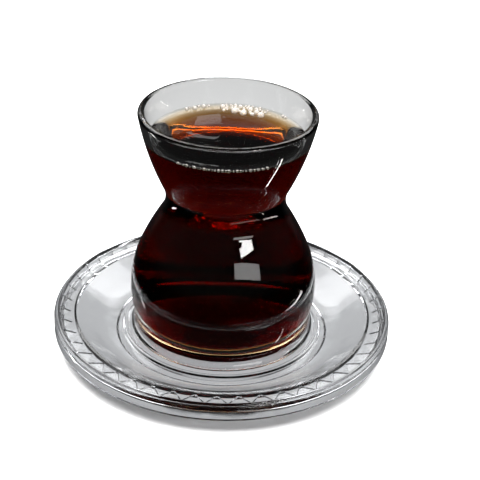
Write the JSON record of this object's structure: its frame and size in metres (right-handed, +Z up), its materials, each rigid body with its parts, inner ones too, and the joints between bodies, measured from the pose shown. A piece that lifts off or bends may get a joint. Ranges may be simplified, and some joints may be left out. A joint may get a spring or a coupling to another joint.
{
  "type": "turkish tea glass",
  "caption": "Waisted tulip-shaped tea glass full of dark red-brown tea, standing on a round clear pressed-glass saucer with a cut zigzag band and a rolled edge",
  "frame": {"origin": "middle of the underside of the saucer's foot ring, on the table", "axes": "+Z is up along the shared axis of the glass and the saucer; +X and +Y lie in the table and are interchangeable, since the part is round"},
  "size_m": [0.112, 0.112, 0.0821],
  "materials": {
    "pressed_glass": "clear pressed soda-lime glass, fire polished, with crisp V-cuts in the band",
    "clear_glass": "clear blown soda-lime glass, smooth, with a rounded lip",
    "black_tea": "still, clear dark red-brown brewed tea, glossy, with small bubbles at its edge"
  },
  "bodies": {
    "root": {"saucer": "pressed_glass", "glass": "clear_glass", "tea": "black_tea"}
  },
  "joints": []
}
